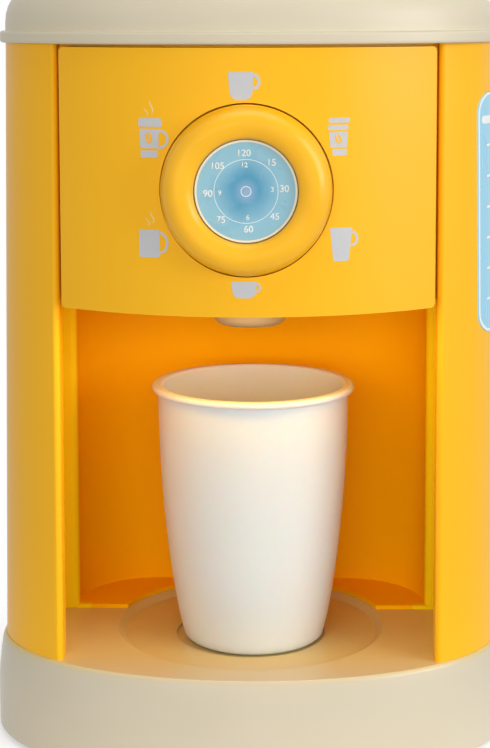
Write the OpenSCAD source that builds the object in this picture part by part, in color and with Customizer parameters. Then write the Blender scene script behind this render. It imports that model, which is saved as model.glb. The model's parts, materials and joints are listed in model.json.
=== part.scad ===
/* [Casing] */
// Width of the casing where it stands on the base
body_w = 164.4; // [150:0.2:180]
// Narrowing of the casing from foot to top, each side
draft = 2.5; // [0.5:0.1:4]
// How far the front bows ahead of the widest place
front_bulge = 49.5; // [44:0.5:54]
// How far the back lies behind the widest place
back_depth = 72; // [68:1:84]
// Radius of the two rear corners
rear_corner_r = 34; // [26:1:40]
// Height of the casing above the tray
casing_h = 197.2; // [190:0.2:210]
// Thickness of the moulded walls
wall = 2.2; // [1.8:0.1:2.6]
// Width of each front column at the foot, seen from the front
column_w = 22.7; // [21.6:0.1:25]
// How far ahead of the widest place the inner flanges of the columns end behind the front panel
flange_end = 18; // [16.5:0.5:20]
// How far ahead of the widest place those flanges end beside the cup bay
bay_flange_end = 25; // [22:0.5:27]
// Rounding of the columns' inner edges
column_edge_r = 1.6; // [0.8:0.1:2]

/* [Base] */
// Height of the tray above the table
base_h = 33; // [31:0.5:40]
// How far the base stands out beyond the casing's foot
base_ledge = 2.8; // [2:0.1:4]
// Inward curve of the base at its top edge
base_crown = 2; // [1:0.1:2.5]
// Thickness of the tray
tray_t = 2.4; // [2:0.1:3]
// Radius of the tray dish
dish_r = 45; // [42:0.5:46]
// Depth of the tray dish
dish_depth = 1.8; // [1:0.1:2.2]
// Width of the sloping rim of the dish
dish_rim = 2.6; // [1.5:0.1:4]
// Distance of the dish's centre behind the widest place
dish_y = 4.5; // [3:0.5:6]
// Depth of the cup well below the dish
well_depth = 0.8; // [0.5:0.1:0.9]
// Gap between the cup's foot and the side of the well
well_gap = 3; // [2.8:0.1:4]
// Height of the rubber feet below the base
foot_h = 1.2; // [0.8:0.1:2]
// Radius of the rubber feet
foot_r = 7; // [5:0.5:8]
// Thickness of the bottom cover
cover_t = 2; // [1.8:0.1:2.6]

/* [Cup bay] */
// Distance of the floor ledge's front edge and of the bay's front flanges behind the widest place
ledge_front = 19; // [16:0.5:22]
// Depth of the bay behind the ledge's front edge
bay_depth = 30.5; // [29.5:0.5:34]
// Radius of the bay's rear corners
bay_corner_r = 26.5; // [20:0.5:26.5]
// Rounding between the bay's front flanges and its side walls
flange_round = 2.4; // [2.2:0.1:2.5]
// Thickness of the bay's wall
liner_t = 1.8; // [1.5:0.1:2.2]
// How far the bay's side walls lie outside the opening between the columns
liner_step = 0.6; // [0.3:0.1:1]
// Thickness of the floor ledge round the dish
ledge_t = 1.3; // [1:0.1:1.8]
// Gap between the ledge and the rim of the dish
ledge_gap = 0.5; // [0.3:0.1:1]

/* [Front panel] */
// Height of the front panel
panel_h = 81.4; // [78:0.2:84]
// Gap above the panel, under the lid's rim
panel_top_gap = 0.8; // [0.5:0.1:2]
// Gap between the panel and each column
panel_side_gap = 1; // [0.8:0.1:2]
// Radius of the panel's bow
panel_r = 98; // [90:1:120]
// How far the panel's side edges stand ahead of the columns
panel_proud = 0.3; // [0:0.1:0.6]
// Thickness of the panel
panel_t = 2.2; // [1.8:0.1:2.6]
// Radius of the panel's corners
panel_corner_r = 1.5; // [0.5:0.1:3]
// How far behind the panel's front its lip lies, which closes the gaps beside and above it
lip_back = 5; // [4:0.5:6]
// Thickness of that lip
lip_t = 1.6; // [1.2:0.1:2]
// How far the bay's ceiling lies above the panel's lower edge
ceiling_up = 2; // [1:0.1:4]
// Thickness of the bay's ceiling
ceiling_t = 2.2; // [2:0.1:3]

/* [Dial] */
// Height of the dial's axis above the panel's lower edge
dial_up = 38.6; // [36:0.1:40]
// Outer radius of the ring knob
knob_r = 25.9; // [25:0.1:28]
// Gap between the knob and its pocket in the panel
knob_gap = 0.5; // [0.3:0.1:0.8]
// Height of the knob's crest ahead of the panel
knob_crest = 6.2; // [5:0.1:8]
// Radius at which the knob's crest lies
crest_r = 20.6; // [19.5:0.1:21.5]
// Depth of the finger scoops at the crest
scoop_depth = 1.2; // [0.8:0.1:1.5]
// Radius of the ball shape of the finger scoops
scoop_r = 45; // [40:1:60]
// Number of finger scoops and of click stops
stops = 6; // [6:1:8]
// Radius of the printed disc
disc_r = 15.5; // [14.5:0.1:16]
// Thickness of the printed disc
disc_t = 1.2; // [1:0.1:1.4]
// Radius of the shaft
shaft_r = 4; // [3.6:0.1:4.2]
// Radial gap of the shaft in its bush, and of the plug in the tap body
run_gap = 0.05; // [0.03:0.01:0.08]
// Radius of the click wheel
wheel_r = 13; // [12:0.1:14]
// Radius of the click spring's nose
nose_r = 1.6; // [1.2:0.1:1.8]

/* [Tap and tank] */
// Radius of the turning plug
plug_r = 6; // [5.8:0.1:6.6]
// Radius of the water way
way_r = 2.6; // [2:0.1:2.8]
// Outer radius of the tap's hose spigots
spigot_r = 4; // [3.6:0.1:4.2]
// Radius of the round spout
spout_r = 12.2; // [11.5:0.1:13]
// Rounding of the spout's lower edge
spout_round = 3; // [1:0.5:4]
// How far the spout hangs below the panel's lower edge
spout_drop = 11; // [9:0.1:12]
// Thickness of the tank's walls
tank_t = 1.6; // [1.2:0.1:2]
// Height of the tank
tank_h = 28; // [26:0.5:29]
// Gap between the tank and the lid's skirt
tank_gap = 0.6; // [0.4:0.1:1.2]

/* [Lid] */
// How far the lid's rim stands out beyond the top of the casing
rim_over = 1.8; // [1.2:0.1:3]
// How far the lid's rim covers the front panel
rim_cover = 1; // [0.5:0.1:2]
// Thickness of the lid's rim
rim_t = 3.8; // [3:0.1:5]
// Step from the rim in to the dome
dome_step = 1.8; // [1:0.1:2.5]
// Height of the straight side of the dome above the rim
dome_side = 2.7; // [1:0.1:5]
// Radius of the dome's shoulder
shoulder_r = 14; // [10:0.5:18]
// Rise of the dome's crown above the shoulder
crown_h = 3.6; // [2:0.1:6]
// Height of the skirt that enters the casing
skirt_h = 6; // [4:0.5:8]

/* [Cup] */
// Height of the cup
cup_h = 86.6; // [80:0.2:92]
// Radius of the cup's foot
cup_foot_r = 22; // [20:0.2:24]
// Radius of the cup under its lip
cup_top_r = 31.7; // [28:0.1:33]
// Radius of the rolled lip's section
lip_r = 1.15; // [1:0.05:1.5]
// How far the rolled lip stands out beyond the cup's side
lip_out = 2; // [1.5:0.1:2.5]
// Thickness of the cup's wall
cup_t = 1.6; // [1.2:0.1:2]
// Distance of the cup, spout and tap behind the widest place
cup_y = 1; // [0:0.5:2]
// How far to the right of its well's middle the cup stands
cup_x = 1; // [0:0.5:1]

/* [Level gauge] */
// Height of the gauge strip
gauge_h = 77.5; // [70:0.5:80]
// Height of the strip's lower end above the tray
gauge_up = 104; // [100:1:112]
// Width of the strip
gauge_w = 24; // [20:1:26]
// Distance of the strip's middle ahead of the widest place
gauge_y = 8.5; // [6:0.5:10]
// Radius of the strip's corners
gauge_corner_r = 7; // [3:0.5:9]
// Thickness of the strip
gauge_t = 1; // [0.8:0.1:1.2]
// How far the strip stands proud of the casing
gauge_proud = 0.25; // [0.1:0.05:0.4]

/* [Screws] */
// Radius of the screws' shanks
screw_r = 1.4; // [1.3:0.1:1.6]
// Radius of the screws' heads
head_r = 2.8; // [2.6:0.1:3.2]
// Height of the screws' heads
head_h = 1.8; // [1.6:0.1:2.2]
// Radial gap of a screw in the boss that it bites
bite_gap = 0.05; // [0.03:0.01:0.08]
// Radial gap of a screw in the piece that it clamps
pass_gap = 0.3; // [0.2:0.05:0.4]
// Radius of the screw bosses
boss_r = 3.8; // [3.4:0.1:4.2]

/* [Hidden] */
$fn = 64;

// Gaps between pieces that stand still against each other: face to face, and loose
seat = 0.1;
slip = 0.3;
// How far joined shapes of one piece run into each other, and how far a cut runs past a face
overlap = 0.5;
cut = 1;
// Plastic left beyond a screw's hole, the free end of that hole, and plastic under a sunk screw head
boss_floor = 3;
tip_gap = 1;
head_rest = 0.8;

// Plan of the machine: half an ellipse in front, straight flanks and two round corners behind
foot_half = body_w / 2;
opening_half = foot_half - column_w;
top_half = foot_half - draft;
top_scale = top_half / foot_half;
function shrink(z) = 1 - (1 - top_scale) * (z - base_h) / casing_h;
front_steps = 36;
corner_steps = 8;
function plan(half, front, back, corner) = concat(
    [for (i = [0 : front_steps]) let (a = 180 + 180 * i / front_steps)
        [half * cos(a), front * sin(a)]],
    [for (i = [0 : corner_steps]) let (a = 90 * i / corner_steps)
        [half - corner + corner * cos(a), back - corner + corner * sin(a)]],
    [for (i = [0 : corner_steps]) let (a = 90 + 90 * i / corner_steps)
        [corner - half + corner * cos(a), back - corner + corner * sin(a)]]);
// The casing's plan at a height, moved in by a wall or a gap
function casing_plan(z, inset) = plan(
    foot_half * shrink(z) - inset, front_bulge * shrink(z) - inset,
    back_depth * shrink(z) - inset, rear_corner_r * shrink(z) - inset);
function column_y(x, z) = -front_bulge * shrink(z) * sqrt(1 - pow(x / (foot_half * shrink(z)), 2));

// Heights
casing_top = base_h + casing_h;
panel_top = casing_top - panel_top_gap;
panel_low = panel_top - panel_h;
ceiling_z = panel_low + ceiling_up;
floor_z = ceiling_z + ceiling_t;
dial_z = panel_low + dial_up;
well_z = base_h - dish_depth - well_depth;
well_r = cup_foot_r + well_gap;
rim_z = casing_top + seat;
// Drop of the tank's rim below the top of the casing
tank_drop = 3.2;
tank_top = casing_top - tank_drop;
tank_low = tank_top - tank_h;

// Front panel
panel_half = opening_half - panel_side_gap;
panel_edge_y = column_y(panel_half, panel_low) - panel_proud;
panel_front = panel_edge_y - panel_r + sqrt(panel_r * panel_r - panel_half * panel_half);
panel_axis_y = panel_front + panel_r;
bay_half = opening_half + liner_step;
bay_back = ledge_front + bay_depth;

// Lid
lid_half = top_half + rim_over;
lid_front = rim_cover - panel_front;
lid_back = back_depth * top_scale + rim_over;
lid_corner = rear_corner_r * top_scale + rim_over;
dome_base = rim_t + dome_side;

// Base
base_half = foot_half + base_ledge;
base_front = front_bulge + base_ledge;
base_back = back_depth + base_ledge;
base_corner = rear_corner_r + base_ledge;
base_wall = wall + 0.2;

// Places along the dial's axis, measured forward from the front of the panel
pocket_floor = -6;
pocket_t = 2;
bush_flange_t = 1.5;
bush_back = pocket_floor - pocket_t - bush_flange_t;
clip_t = 1;
clip_front = bush_back - slip;
wheel_gap = 0.8;
wheel_front = clip_front - clip_t - wheel_gap;
wheel_t = 4;
disc_seat = 1.2;
hub_r = 7.6;
knob_rear = pocket_floor + slip;
shaft_front = -1;
flat_depth = 0.8;
stop_angle = 360 / stops;
// Click spring: its nose rests in a notch, its leaf passes over the wheel
nose_lift = 1.2;
nose_at = wheel_r + nose_lift;
notch_gap = 0.15;
leaf_t = 0.6;
leaf_sink = 0.4;
leaf_z = nose_at + nose_r - leaf_sink;

// Front to back size, so that the middle of the whole lies over the origin
front_reach = knob_crest - panel_front;
back_reach = base_back;
middle_y = (back_reach - front_reach) / 2;
module placed() translate([0, -middle_y, 0]) children();

// Along the dial's axis: local +Z points forward, out of the panel
module on_dial() placed() translate([0, panel_front, dial_z]) rotate([90, 0, 0]) children();

module screw(shank) {
    cylinder(r = head_r, h = head_h);
    translate([0, 0, head_h - overlap]) cylinder(r = screw_r, h = shank + overlap);
}
module ring(outer, inner, h) difference() {
    cylinder(r = outer, h = h);
    translate([0, 0, -cut]) cylinder(r = inner, h = h + 2 * cut);
}
module plate(h, points) linear_extrude(height = h) polygon(points);
// Solid through a stack of outlines, each given as [height, points] with the same number of points
module loft(levels) {
    n = len(levels[0][1]);
    m = len(levels);
    polyhedron(
        [for (level = levels) each [for (p = level[1]) [p[0], p[1], level[0]]]],
        concat(
            [[for (i = [0 : n - 1]) i]],
            [for (k = [0 : m - 2], i = [0 : n - 1]) let (j = (i + 1) % n)
                [k * n + i, (k + 1) * n + i, (k + 1) * n + j, k * n + j]],
            [[for (i = [n - 1 : -1 : 0]) (m - 1) * n + i]]));
}

/* Base */
cover_seat = foot_h + cover_t;
cover_gap = 0.3;
// Places of the base's screws and feet and of the casing's screws, in from the flanks and the back,
// or ahead of and behind the widest place
rear_screw_in = 27;
front_screw_in = 37;
front_screw_y = 20;
base_screw_at = [for (side = [-1, 1]) each [[side * (base_half - rear_screw_in), base_back - rear_screw_in],
                                            [side * (base_half - front_screw_in), -front_screw_y]]];
rear_foot_in = 35;
front_foot_in = 27;
foot_back_in = 19;
front_foot_y = 12;
foot_at = [for (side = [-1, 1]) each [[side * (base_half - rear_foot_in), base_back - foot_back_in],
                                      [side * (base_half - front_foot_in), -front_foot_y]]];
casing_screw_in = 12.2;
casing_screw_y = 34;
column_screw_out = 6;
column_screw_y = 21.5;
casing_screw_at = [for (side = [-1, 1]) each [[side * (foot_half - casing_screw_in), casing_screw_y],
                                              [side * (opening_half + column_screw_out), -column_screw_y]]];
casing_screw_l = 10;
base_screw_l = 9;
function base_plan(inset) = plan(base_half - inset, base_front - inset,
                                 base_back - inset, base_corner - inset);
// Height and inset of each outline of the base, from the table to the crowned top edge
base_levels = [[foot_h, 0.9], [foot_h + 1.2, 0], [base_h * 0.5, 0], [base_h * 0.66, base_crown * 0.12],
               [base_h * 0.82, base_crown * 0.4], [base_h - 1.4, base_crown * 0.75],
               [base_h - 0.5, base_crown], [base_h, base_crown + 0.5]];
module base_tray() color("#dccfb4") placed() difference() {
    union() {
        difference() {
            loft([for (level = base_levels) [level[0], base_plan(level[1])]]);
            difference() {
                translate([0, 0, foot_h - cut])
                    plate(base_h - tray_t - foot_h + cut, base_plan(base_wall + base_crown));
                translate([0, dish_y, well_z - tray_t]) cylinder(r = dish_r + tray_t, h = base_h);
            }
            translate([0, 0, foot_h - cut]) plate(cover_t + cut, base_plan(base_wall));
        }
        for (p = base_screw_at) translate([p[0], p[1], cover_seat])
            cylinder(r = boss_r, h = base_h - tray_t - cover_seat + overlap);
    }
    translate([0, dish_y, base_h - dish_depth]) cylinder(
        r1 = dish_r - dish_rim, r2 = dish_r + dish_rim * cut / dish_depth, h = dish_depth + cut);
    translate([0, cup_y, well_z]) cylinder(r = well_r, h = base_h);
    for (p = base_screw_at) translate([p[0], p[1], cover_seat - cut])
        cylinder(r = screw_r + bite_gap, h = base_screw_l - head_rest + 2 * cut);
    for (p = casing_screw_at) translate([p[0], p[1], base_h - tray_t - cut])
        cylinder(r = screw_r + pass_gap, h = tray_t + 2 * cut);
}
foot_pocket = 0.8;
foot_chamfer = 0.6;
module base_cover() color("#dccfb4") placed() difference() {
    translate([0, 0, foot_h]) plate(cover_t, base_plan(base_wall + cover_gap));
    for (p = base_screw_at) translate([p[0], p[1], foot_h - cut]) {
        cylinder(r = screw_r + pass_gap, h = cover_t + 2 * cut);
        cylinder(r = head_r + pass_gap, h = cover_t + cut - head_rest);
    }
    for (p = foot_at) translate([p[0], p[1], foot_h - cut])
        cylinder(r = foot_r + bite_gap, h = foot_pocket + cut);
}
module rubber_feet() color("#3a3a3a") placed() for (p = foot_at) translate([p[0], p[1], 0]) {
    cylinder(r1 = foot_r - foot_chamfer, r2 = foot_r, h = foot_h / 2);
    translate([0, 0, foot_h / 2]) cylinder(r = foot_r, h = foot_h / 2 + foot_pocket);
}
module base_screws() color("silver") placed() for (p = base_screw_at)
    translate([p[0], p[1], foot_h + cover_t - head_rest - head_h]) screw(base_screw_l);

/* Casing */
flange_t = 2;
shelf_t = 2.2;
shelf_gap = 4;
shelf_front = flange_end - shelf_gap;
shelf_w = 7;
web_t = 2;
screw_inset = 1.2;
panel_screw_y = -(flange_end + head_r + screw_inset);
screw_up = 11;
panel_screw_z = [panel_low + screw_up, panel_top - screw_up];
panel_screw_l = 7;
gauge_low = base_h + gauge_up;
module casing_solid(inset, extra) loft([
    for (z = [base_h - extra, casing_top + extra]) [z, casing_plan(z, inset)]]);
// The gauge strip's outline, seen from the right, pushed through the flank
module gauge_block(gap) {
    r = gauge_corner_r + gap;
    half_w = gauge_w / 2 + gap;
    half_h = gauge_h / 2 + gap;
    translate([0, -gauge_y, gauge_low + gauge_h / 2]) rotate([0, 90, 0]) translate([0, 0, foot_half / 2]) {
        for (up = [-1, 1], side = [-1, 1]) translate([up * (half_h - r), side * (half_w - r), 0])
            cylinder(r = r, h = foot_half);
        translate([-half_h, -half_w + r, 0]) cube([2 * half_h, 2 * (half_w - r), foot_half]);
        translate([-half_h + r, -half_w, 0]) cube([2 * (half_h - r), 2 * half_w, foot_half]);
    }
}
module gauge_layer(gap, outer, inner) difference() {
    intersection() {
        casing_solid(-outer, 0);
        gauge_block(gap);
    }
    casing_solid(inner, cut);
}
// Cutter that rounds the inner front edge of the right column, at each height tangent to its front
edge_steps = 8;
function edge_plan(z) =
    let (y = column_y(opening_half, z),
         t = atan(opening_half / pow(foot_half * shrink(z), 2) * pow(front_bulge * shrink(z), 2) / -y),
         x0 = opening_half + column_edge_r,
         y0 = y + column_edge_r * (1 + sin(t)) / cos(t))
    concat([[opening_half - cut, y0], [opening_half - cut, y - 2 * cut],
            [x0 + (column_edge_r + cut) * sin(t), y0 - (column_edge_r + cut) * cos(t)]],
           [for (i = [edge_steps : -1 : 0]) let (a = 180 + (90 + t) * i / edge_steps)
               [x0 + column_edge_r * cos(a), y0 + column_edge_r * sin(a)]]);
module column_edge_cut() loft([for (z = [base_h - cut, casing_top + cut]) [z, edge_plan(z)]]);
module casing_shell() color("#f6b72a") placed() difference() {
    union() {
        difference() {
            casing_solid(0, 0);
            casing_solid(wall, cut);
            translate([-opening_half, -2 * front_bulge, base_h - cut])
                cube([2 * opening_half, 2 * front_bulge, casing_h + 2 * cut]);
        }
        // Inner flanges of the columns: short beside the bay, deeper behind the panel
        for (side = [-1, 1]) intersection() {
            casing_solid(0, 0);
            translate([side > 0 ? opening_half : -opening_half - flange_t, -front_bulge, 0]) {
                translate([0, 0, base_h]) cube([flange_t, front_bulge - bay_flange_end, casing_h]);
                translate([0, 0, floor_z + slip])
                    cube([flange_t, front_bulge - flange_end, casing_top - floor_z - slip]);
            }
        }
        // Shelf that carries the tank
        difference() {
            translate([0, 0, tank_low - shelf_t])
                plate(shelf_t, casing_plan(tank_low - shelf_t, wall - overlap));
            translate([0, 0, tank_low - shelf_t - cut])
                plate(shelf_t + 2 * cut, casing_plan(tank_low, wall + shelf_w));
            translate([-foot_half, -2 * front_bulge, tank_low - shelf_t - cut])
                cube([body_w, 2 * front_bulge - shelf_front, shelf_t + 2 * cut]);
        }
        // Bosses for the screws from the base, tied to the flank by a web
        for (p = casing_screw_at) translate([p[0], p[1], base_h])
            cylinder(r = boss_r, h = casing_screw_l + boss_floor);
        intersection() {
            casing_solid(wall / 2, 0);
            for (p = casing_screw_at) translate([p[0] > 0 ? p[0] : -foot_half, p[1] - web_t / 2, base_h])
                cube([foot_half - abs(p[0]), web_t, casing_screw_l + boss_floor]);
        }
    }
    column_edge_cut();
    mirror([1, 0, 0]) column_edge_cut();
    for (p = casing_screw_at) translate([p[0], p[1], base_h - cut])
        cylinder(r = screw_r + bite_gap, h = casing_screw_l + 2 * cut);
    for (side = [-1, 1], z = panel_screw_z)
        translate([side * (opening_half - cut), panel_screw_y, z]) rotate([0, side * 90, 0])
            cylinder(r = screw_r + pass_gap, h = flange_t + 2 * cut);
    gauge_layer(bite_gap, cut, gauge_t - gauge_proud);
}
module casing_screws() color("silver") placed() for (p = casing_screw_at)
    translate([p[0], p[1], base_h - tray_t - head_h]) screw(casing_screw_l);
module level_gauge() color("#8fcfe6") placed()
    gauge_layer(0, gauge_proud, gauge_t - gauge_proud - bite_gap);

/* Cup bay */
ceiling_front = -flange_end + slip;
wing_front = -bay_flange_end + slip;
liner_h = ceiling_z - base_h;
round_y = ledge_front + flange_round;
bay_corner_x = bay_half - bay_corner_r;
bay_corner_y = bay_back - bay_corner_r;
head_screw_l = 8;
head_screw_x = 24;
head_screw_out = 7;
boss_bite = 0.8;
boss_out = liner_t + boss_r - boss_bite;
head_screw_at = [for (side = [-1, 1]) each [[side * (bay_half + head_screw_out), ledge_front + boss_out],
                                            [side * head_screw_x, bay_back + boss_out]]];
// Space between the casing's walls, clear of them, for a piece drawn from this height up
module inside_casing(z) translate([0, 0, -z]) casing_solid(wall + slip, 0);
module bay_wall() {
    for (side = [-1, 1]) {
        translate([side > 0 ? bay_half : -bay_half - liner_t, round_y, 0])
            cube([liner_t, bay_corner_y - round_y, liner_h]);
        translate([side * (bay_half + flange_round), round_y, 0])
            rotate([0, 0, side > 0 ? 180 : 270]) rotate_extrude(angle = 90)
                translate([flange_round - liner_t, 0]) square([liner_t, liner_h]);
        // Front flange out to the casing's wall
        intersection() {
            inside_casing(base_h);
            translate([side > 0 ? bay_half + flange_round : -foot_half, ledge_front, 0])
                cube([foot_half - bay_half - flange_round, liner_t, liner_h]);
        }
        translate([side * bay_corner_x, bay_corner_y, 0])
            rotate([0, 0, side > 0 ? 0 : 90]) rotate_extrude(angle = 90)
                translate([bay_corner_r, 0]) square([liner_t, liner_h]);
    }
    translate([-bay_corner_x, bay_back, 0]) cube([2 * bay_corner_x, liner_t, liner_h]);
}
module bay_floor() difference() {
    union() {
        translate([-bay_half - flange_round, ledge_front, 0])
            cube([2 * (bay_half + flange_round), flange_round, ledge_t]);
        translate([-bay_half, ledge_front, 0])
            cube([2 * bay_half, bay_corner_y - ledge_front, ledge_t]);
        translate([-bay_corner_x, bay_corner_y, 0]) cube([2 * bay_corner_x, bay_corner_r, ledge_t]);
        for (side = [-1, 1]) translate([side * bay_corner_x, bay_corner_y, 0])
            rotate([0, 0, side > 0 ? 0 : 90]) rotate_extrude(angle = 90) square([bay_corner_r, ledge_t]);
    }
    translate([0, dish_y, -cut]) cylinder(r = dish_r + ledge_gap, h = ledge_t + 2 * cut);
}
module alcove_liner() color("#f2a413") placed() translate([0, 0, base_h]) difference() {
    union() {
        bay_wall();
        bay_floor();
        for (p = head_screw_at) translate([p[0], p[1], liner_h - head_screw_l - boss_floor])
            cylinder(r = boss_r, h = head_screw_l + boss_floor);
    }
    for (p = head_screw_at) translate([p[0], p[1], liner_h - head_screw_l])
        cylinder(r = screw_r + bite_gap, h = head_screw_l + cut);
}

/* Front panel */
pocket_r = knob_r + knob_gap;
return_gap = 1.5;
return_end = -flange_end - return_gap;
bush_r = 6;
bush_lip = 2.5;
post_r = 3.4;
post_x = 20;
post_at = [-post_x, leaf_z + leaf_t + head_r + slip];
post_h = pocket_floor - pocket_t - wheel_front;
module bowed(r_out, half, low, high) intersection() {
    translate([0, panel_axis_y, low]) cylinder(r = r_out, h = high - low, $fn = 180);
    translate([-half, panel_front - cut, low]) cube([2 * half, return_end - panel_front + cut, high - low]);
}
// Part of a bowed sheet, t thick, behind the radius r_out
module bowed_sheet(r_out, t, half, low, high) intersection() {
    translate([0, panel_axis_y, low]) difference() {
        cylinder(r = r_out, h = high - low, $fn = 180);
        translate([0, 0, -cut]) cylinder(r = r_out - t, h = high - low + 2 * cut, $fn = 180);
    }
    translate([-half, panel_front - cut, low]) cube([2 * half, -panel_front, high - low]);
}
// Cutter that rounds one corner of the panel as seen from the front
module panel_corner_cut(side, z, up) translate([side * panel_half, cut, z]) rotate([90, 0, 0]) difference() {
    translate([-panel_corner_r, -panel_corner_r, 0])
        cube([2 * panel_corner_r, 2 * panel_corner_r, 2 * cut - panel_front]);
    translate([-side * panel_corner_r, -up * panel_corner_r, -cut])
        cylinder(r = panel_corner_r, h = 4 * cut - panel_front);
}
module front_panel() color("#f8bf33") difference() {
    union() {
        placed() difference() {
            bowed(panel_r, panel_half, panel_low, panel_top);
            bowed(panel_r - panel_t, panel_half - panel_t, panel_low - cut, panel_top - panel_t);
            for (side = [-1, 1], up = [-1, 1])
                panel_corner_cut(side, up > 0 ? panel_top : panel_low, up);
        }
        // Lip behind the panel's edge that closes the gaps beside and above it
        placed() difference() {
            bowed_sheet(panel_r - lip_back, lip_t, opening_half - seat,
                        panel_low + panel_corner_r, casing_top);
            translate([-panel_half + panel_t / 2, panel_front - cut, panel_low])
                cube([2 * panel_half - panel_t, -panel_front, panel_h - panel_t / 2]);
        }
        // Pads that reach across the gap to the column flanges, and the bosses behind them
        placed() for (side = [-1, 1], z = panel_screw_z)
            translate([side * opening_half, panel_screw_y, z]) rotate([0, -side * 90, 0])
                cylinder(r = boss_r, h = panel_side_gap + panel_screw_l);
        // Pocket of the knob
        intersection() {
            on_dial() translate([0, 0, pocket_floor - pocket_t])
                cylinder(r = pocket_r + panel_t, h = pocket_t - pocket_floor + cut);
            placed() bowed(panel_r, panel_half, panel_low, panel_top);
        }
        // Post of the click spring
        on_dial() translate([post_at[0], post_at[1], wheel_front])
            cylinder(r = post_r, h = post_h + pocket_t + panel_t);
    }
    on_dial() {
        translate([0, 0, pocket_floor]) cylinder(r = pocket_r, h = cut - pocket_floor);
        translate([0, 0, pocket_floor - pocket_t - cut]) cylinder(r = bush_r, h = pocket_t + 2 * cut);
        translate([post_at[0], post_at[1], wheel_front - cut])
            cylinder(r = screw_r + bite_gap, h = post_h + cut);
    }
    placed() for (side = [-1, 1], z = panel_screw_z)
        translate([side * (opening_half + cut), panel_screw_y, z]) rotate([0, -side * 90, 0])
            cylinder(r = screw_r + bite_gap, h = panel_side_gap + panel_screw_l);
}
module panel_screws() color("silver") placed() for (side = [-1, 1], z = panel_screw_z)
    translate([side * (opening_half + flange_t + head_h), panel_screw_y, z])
        rotate([0, -side * 90, 0]) screw(panel_screw_l);

/* Ceiling of the bay */
neck_r = 7;
valve_screw_x = 16.5;
valve_screw_l = 6;
module head_floor() color("#f2a413") placed() translate([0, 0, ceiling_z]) difference() {
    union() {
        intersection() {
            translate([0, panel_axis_y, 0]) cylinder(r = panel_r - panel_t - slip, h = ceiling_t, $fn = 180);
            translate([-panel_half + panel_t + slip, panel_front, 0])
                cube([2 * (panel_half - panel_t - slip), -panel_front, ceiling_t]);
        }
        // Plate between the casing's walls, with wings in front that pass under the column flanges
        intersection() {
            inside_casing(ceiling_z);
            union() {
                translate([-foot_half, ceiling_front, 0])
                    cube([body_w, ledge_front + liner_t - ceiling_front, ceiling_t]);
                for (side = [-1, 1]) translate([side > 0 ? opening_half : -foot_half, wing_front, 0])
                    cube([column_w, ceiling_front - wing_front + overlap, ceiling_t]);
            }
        }
        translate([-bay_half - liner_t, ledge_front, 0])
            cube([2 * (bay_half + liner_t), bay_corner_y - ledge_front, ceiling_t]);
        translate([-bay_corner_x, bay_corner_y - overlap, 0])
            cube([2 * bay_corner_x, bay_corner_r + liner_t + overlap, ceiling_t]);
        for (side = [-1, 1]) translate([side * bay_corner_x, bay_corner_y, 0])
            rotate([0, 0, side > 0 ? 0 : 90]) rotate_extrude(angle = 90)
                square([bay_corner_r + liner_t, ceiling_t]);
        for (p = head_screw_at) translate([p[0], p[1], 0]) cylinder(r = boss_r, h = ceiling_t);
        // Bosses under the tap's feet
        for (side = [-1, 1]) translate([side * valve_screw_x, cup_y, ceiling_t - overlap])
            cylinder(r = boss_r, h = overlap + valve_screw_l);
    }
    translate([0, cup_y, -cut]) cylinder(r = neck_r + seat, h = ceiling_t + 2 * cut);
    for (side = [-1, 1]) translate([side * valve_screw_x, cup_y, ceiling_t])
        cylinder(r = screw_r + bite_gap, h = valve_screw_l + cut);
    for (p = head_screw_at) translate([p[0], p[1], -cut])
        cylinder(r = screw_r + pass_gap, h = ceiling_t + 2 * cut);
}
module head_screws() color("silver") placed() for (p = head_screw_at)
    translate([p[0], p[1], floor_z + head_h]) mirror([0, 0, 1]) screw(head_screw_l + ceiling_t - tip_gap);

/* Dial bearing and click stop */
module panel_bush() color("#e8e4da") on_dial() difference() {
    union() {
        translate([0, 0, pocket_floor - pocket_t - overlap])
            cylinder(r = bush_r - bite_gap, h = pocket_t + overlap);
        translate([0, 0, bush_back]) cylinder(r = bush_r + bush_lip, h = bush_flange_t);
    }
    translate([0, 0, bush_back - cut])
        cylinder(r = shaft_r + run_gap, h = pocket_floor - bush_back + 2 * cut);
}
hole_r = 1.6;
hole_at = (wheel_r + shaft_r) / 2;
// Bore that fits the shaft and its flat
module d_bore(low, high) difference() {
    translate([0, 0, low]) cylinder(r = shaft_r + bite_gap, h = high - low);
    translate([-shaft_r - cut, shaft_r - flat_depth + bite_gap, low - cut])
        cube([2 * (shaft_r + cut), shaft_r, high - low + 2 * cut]);
}
module click_wheel() color("#e8e4da") on_dial() translate([0, 0, wheel_front - wheel_t]) difference() {
    cylinder(r = wheel_r, h = wheel_t);
    d_bore(-cut, wheel_t + cut);
    for (i = [0 : stops - 1]) rotate(90 + i * stop_angle) translate([nose_at, 0, -cut])
        cylinder(r = nose_r + notch_gap, h = wheel_t + 2 * cut);
    // Round holes between the notches
    for (i = [0 : stops - 1]) rotate(90 + (i + 0.5) * stop_angle) translate([hole_at, 0, -cut])
        cylinder(r = hole_r, h = wheel_t + 2 * cut);
}
tab_t = 0.8;
leaf_end = 4;
leaf_w = wheel_t - 2 * slip;
module click_spring() color("#c9ccd0") on_dial() {
    difference() {
        translate([-post_x - post_r, leaf_z, wheel_front - tab_t])
            cube([2 * post_r, post_at[1] + post_r - leaf_z, tab_t]);
        translate([post_at[0], post_at[1], wheel_front - tab_t - cut])
            cylinder(r = screw_r + pass_gap, h = tab_t + 2 * cut);
    }
    translate([-post_x - post_r, leaf_z, wheel_front - wheel_t + slip]) {
        cube([post_x + post_r + leaf_end, leaf_t, leaf_w]);
        cube([2 * post_r, leaf_t, wheel_t - slip]);
    }
    translate([0, nose_at, wheel_front - wheel_t + slip]) cylinder(r = nose_r, h = leaf_w);
}
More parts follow.
